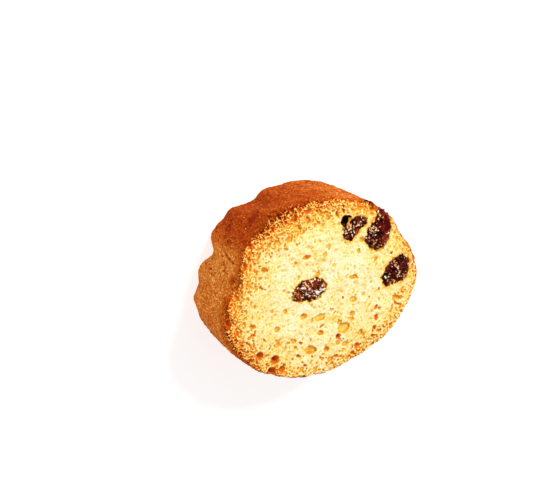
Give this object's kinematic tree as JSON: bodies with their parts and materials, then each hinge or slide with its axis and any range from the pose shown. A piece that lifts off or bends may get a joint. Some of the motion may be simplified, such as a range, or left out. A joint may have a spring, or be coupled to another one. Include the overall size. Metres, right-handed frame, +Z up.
{
  "type": "raisin rusk",
  "caption": "Thick oval slice of twice-baked raisin bread with a browned crust, a porous pale crumb and raisins in the cut faces, lying on its back face.",
  "frame": {"origin": "middle of the bounding box's underside, on the flat back cut face that the slice lies on", "axes": "+X along the slice's long side, +Y across it, +Z up through its thickness, out of the shown cut face"},
  "size_m": [0.0646, 0.0548, 0.0205],
  "materials": {
    "bread": "dry porous pale yellow crumb with a toasted rim and a matte reddish-brown baked crust",
    "raisin": "wrinkled dark maroon skin, glossy on its ridges, with specks of crumb"
  },
  "bodies": {
    "root": {"rusk": "bread", "raisin_1": "raisin", "raisin_2": "raisin", "raisin_3": "raisin", "raisin_4": "raisin", "raisin_5": "raisin", "raisin_6": "raisin", "raisin_7": "raisin"}
  },
  "joints": []
}
